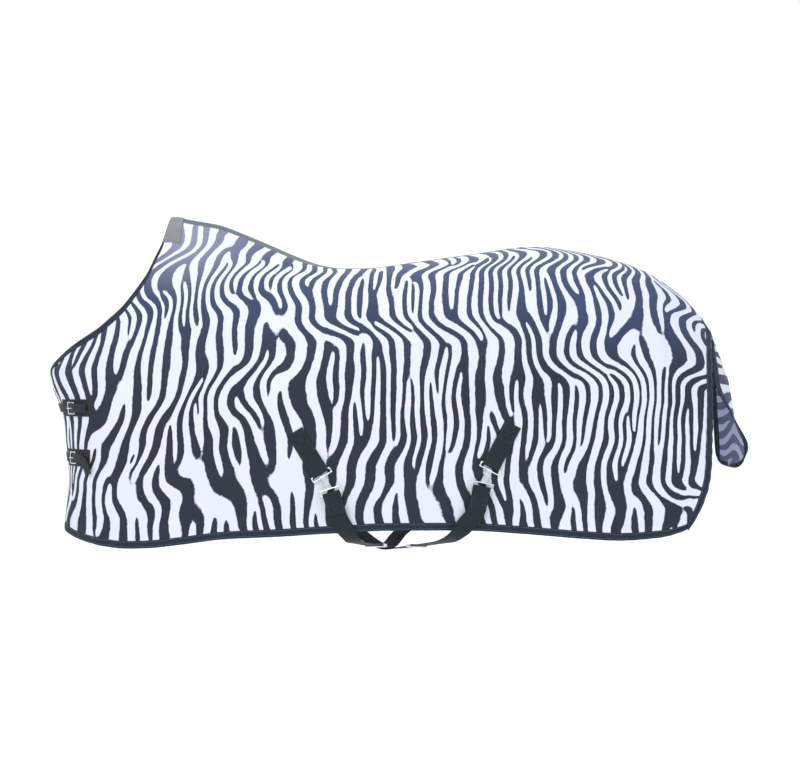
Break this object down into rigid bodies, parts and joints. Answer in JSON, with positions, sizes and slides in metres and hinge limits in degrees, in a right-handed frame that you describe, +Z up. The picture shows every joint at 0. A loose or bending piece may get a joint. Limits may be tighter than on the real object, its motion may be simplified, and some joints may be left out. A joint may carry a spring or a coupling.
{
  "type": "horse fly sheet",
  "caption": "Mesh summer rug for a horse with a neck cut, buckled chest flaps, crossed belly surcingles on wire clips and a tail flap.",
  "frame": {"origin": "on the withers, at the front end of the back seam, where the rug rests on the horse", "axes": "+X towards the tail along the back, +Y to the horse's right (off) side, +Z up; the horse faces -X"},
  "size_m": [1.9942, 0.6547, 0.9626],
  "materials": {
    "mesh_print": null,
    "edge_binding": "woven polyester tape, stitched",
    "withers_web": "coarse grey webbing",
    "webbing": "flat woven nylon webbing",
    "steel": "bright nickel-plated wire"
  },
  "bodies": {
    "root": {"left_side_panel": "mesh_print", "right_side_panel": "mesh_print", "spine_tape": "edge_binding", "withers_patch": "withers_web", "left_hem_binding": "edge_binding", "right_hem_binding": "edge_binding", "left_neck_binding": "edge_binding", "right_neck_binding": "edge_binding", "left_rear_binding": "edge_binding", "right_rear_binding": "edge_binding", "front_anchor_strap": "webbing", "rear_anchor_strap": "webbing", "front_wire_loop": "steel", "rear_wire_loop": "steel", "front_belly_strap": "webbing", "rear_belly_strap": "webbing"},
    "left_flap": {"left_chest_panel": "mesh_print", "left_flap_neck_binding": "edge_binding", "left_flap_hem_binding": "edge_binding", "left_flap_front_binding": "edge_binding", "chest_patch_upper": "webbing", "chest_patch_lower": "webbing", "buckle_chape_upper": "webbing", "buckle_chape_lower": "webbing"},
    "right_flap": {"right_chest_panel": "mesh_print", "right_flap_neck_binding": "edge_binding", "right_flap_hem_binding": "edge_binding", "right_flap_front_binding": "edge_binding", "chest_strap_upper": "webbing", "chest_strap_lower": "webbing"},
    "upper_buckle": {"buckle_frame_upper": "steel"},
    "upper_prong": {"buckle_prong_upper": "steel"},
    "lower_buckle": {"buckle_frame_lower": "steel"},
    "lower_prong": {"buckle_prong_lower": "steel"},
    "front_hook": {"front_hook": "steel", "front_strap_end": "webbing"},
    "rear_hook": {"rear_hook": "steel", "rear_strap_end": "webbing"},
    "front_slide": {"front_slide": "steel"},
    "rear_slide": {"rear_slide": "steel"},
    "tail_flap": {"tail_flap": "mesh_print", "tail_flap_binding": "edge_binding"}
  },
  "joints": [
    {"name": "left_chest_open", "type": "hinge", "parent": "root", "child": "left_flap", "pos_m": [-0.11, -0.22278, -0.58], "axis": [0, 0.1437, 0.9896], "range_deg": [0, 46], "deforming": ["chest_strap_upper", "chest_strap_lower"]},
    {"name": "right_chest_open", "type": "hinge", "parent": "root", "child": "right_flap", "pos_m": [-0.11, 0.22278, -0.58], "axis": [0, 0.1437, -0.9896], "range_deg": [0, 23]},
    {"name": "tail_flap_lift", "type": "hinge", "parent": "root", "child": "tail_flap", "pos_m": [1.533, 0, -0.327], "axis": [0, -1, 0], "range_deg": [0, 70]},
    {"name": "front_hook_release", "type": "hinge", "parent": "root", "child": "front_hook", "pos_m": [0.4373, -0.31465, -0.7295], "axis": [-0.843, 0.0486, -0.5358], "range_deg": [0, 100]},
    {"name": "rear_hook_release", "type": "hinge", "parent": "root", "child": "rear_hook", "pos_m": [0.8815, -0.31931, -0.7114], "axis": [-0.8831, -0.0312, 0.4681], "range_deg": [0, 100]},
    {"name": "front_strap_adjust", "type": "slide", "parent": "root", "child": "front_slide", "axis": [0.3474, 0.9229, -0.1659], "range_m": [-0.1, 0.04]},
    {"name": "rear_strap_adjust", "type": "slide", "parent": "root", "child": "rear_slide", "axis": [-0.4566, 0.8731, -0.1706], "range_m": [-0.1, 0.04]},
    {"name": "upper_buckle_tilt", "type": "hinge", "parent": "left_flap", "child": "upper_buckle", "pos_m": [-0.2692, -0.13937, -0.54884], "axis": [-0.0688, -0.0796, 0.9945], "range_deg": [0, 30]},
    {"name": "upper_prong_lift", "type": "hinge", "parent": "upper_buckle", "child": "upper_prong", "pos_m": [-0.2692, -0.13937, -0.54884], "axis": [-0.0688, -0.0796, 0.9945], "range_deg": [0, 60]},
    {"name": "lower_buckle_tilt", "type": "hinge", "parent": "left_flap", "child": "lower_buckle", "pos_m": [-0.26698, -0.13149, -0.68829], "axis": [-0.027, -0.024, 0.9993], "range_deg": [0, 30]},
    {"name": "lower_prong_lift", "type": "hinge", "parent": "lower_buckle", "child": "lower_prong", "pos_m": [-0.26698, -0.13149, -0.68829], "axis": [-0.027, -0.024, 0.9993], "range_deg": [0, 60]}
  ],
  "couplings": [
    {"joint": "right_chest_open", "follows": "left_chest_open", "ratio": 0.5}
  ]
}
